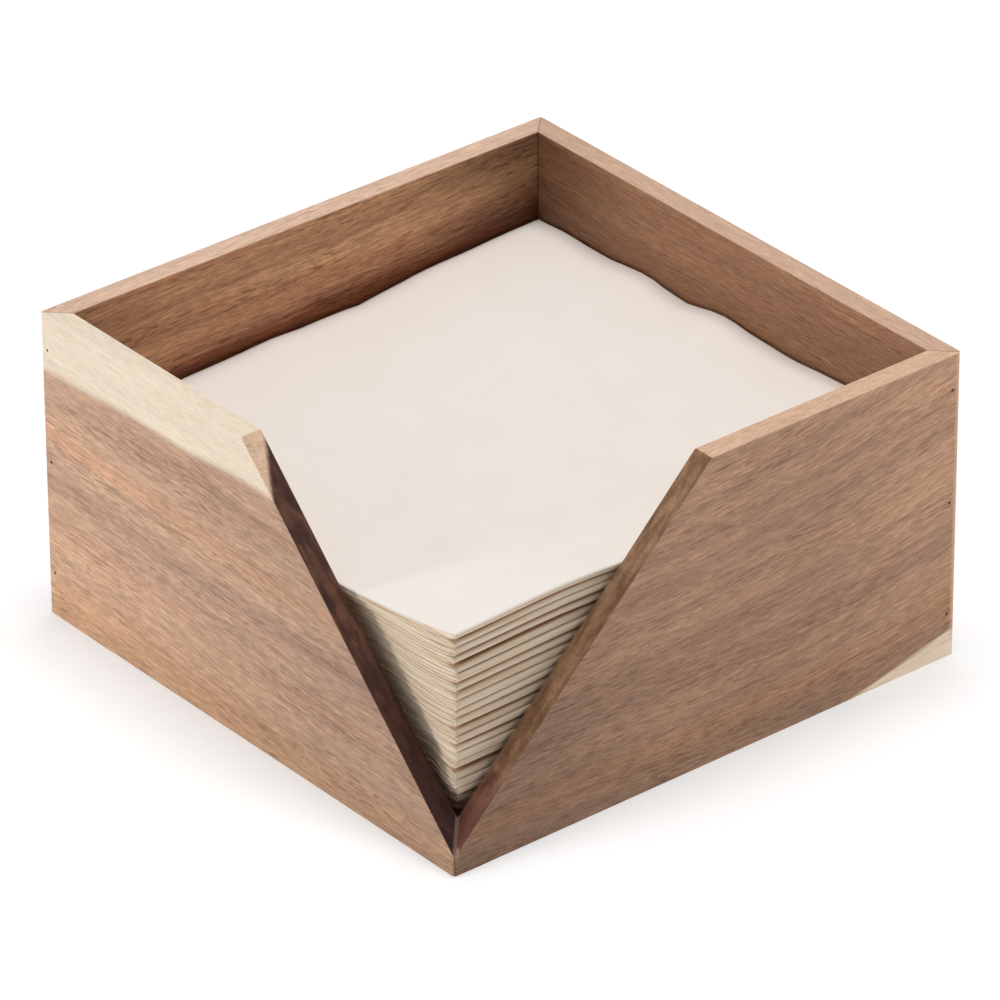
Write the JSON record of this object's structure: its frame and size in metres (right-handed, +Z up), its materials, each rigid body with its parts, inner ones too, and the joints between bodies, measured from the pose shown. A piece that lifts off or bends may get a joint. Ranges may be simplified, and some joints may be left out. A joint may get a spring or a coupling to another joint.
{
  "type": "napkin dispenser",
  "caption": "Square open-topped wooden box with a V-shaped finger notch at a corner, holding a pile of folded paper napkins.",
  "frame": {"origin": "centre of the box's square outline, on the surface that it stands on", "axes": "+Z up; walls lie along X and Y; the corner with the finger notch is at +X, -Y, so front_wall is the -Y side and right_wall the +X side"},
  "size_m": [0.181, 0.181, 0.097],
  "materials": {
    "front_board": "satin",
    "right_board": "satin",
    "back_board": "satin",
    "left_board": "satin",
    "base_board": "matte",
    "pins": "satin",
    "napkin": "matte"
  },
  "bodies": {
    "holder": {"front_wall": "front_board", "right_wall": "right_board", "back_wall": "back_board", "left_wall": "left_board", "base_panel": "base_board", "corner_pins": "pins"},
    "pile": {"napkin_01": "napkin", "napkin_02": "napkin", "napkin_03": "napkin", "napkin_04": "napkin", "napkin_05": "napkin", "napkin_06": "napkin", "napkin_07": "napkin", "napkin_08": "napkin", "napkin_09": "napkin", "napkin_10": "napkin", "napkin_11": "napkin", "napkin_12": "napkin", "napkin_13": "napkin", "napkin_14": "napkin", "napkin_15": "napkin", "napkin_16": "napkin"},
    "handful": {"napkin_17": "napkin", "napkin_18": "napkin", "napkin_19": "napkin", "napkin_20": "napkin", "napkin_21": "napkin"},
    "top_napkin": {"napkin_22": "napkin"}
  },
  "joints": [
    {"name": "pile_lift", "type": "slide", "parent": "holder", "child": "pile", "axis": [0, 0, 1], "range_m": [0, 0.11]},
    {"name": "handful_lift", "type": "slide", "parent": "pile", "child": "handful", "axis": [0, 0, 1], "range_m": [0, 0.07]},
    {"name": "top_napkin_lift", "type": "slide", "parent": "handful", "child": "top_napkin", "axis": [0, 0, 1], "range_m": [0, 0.05]}
  ]
}
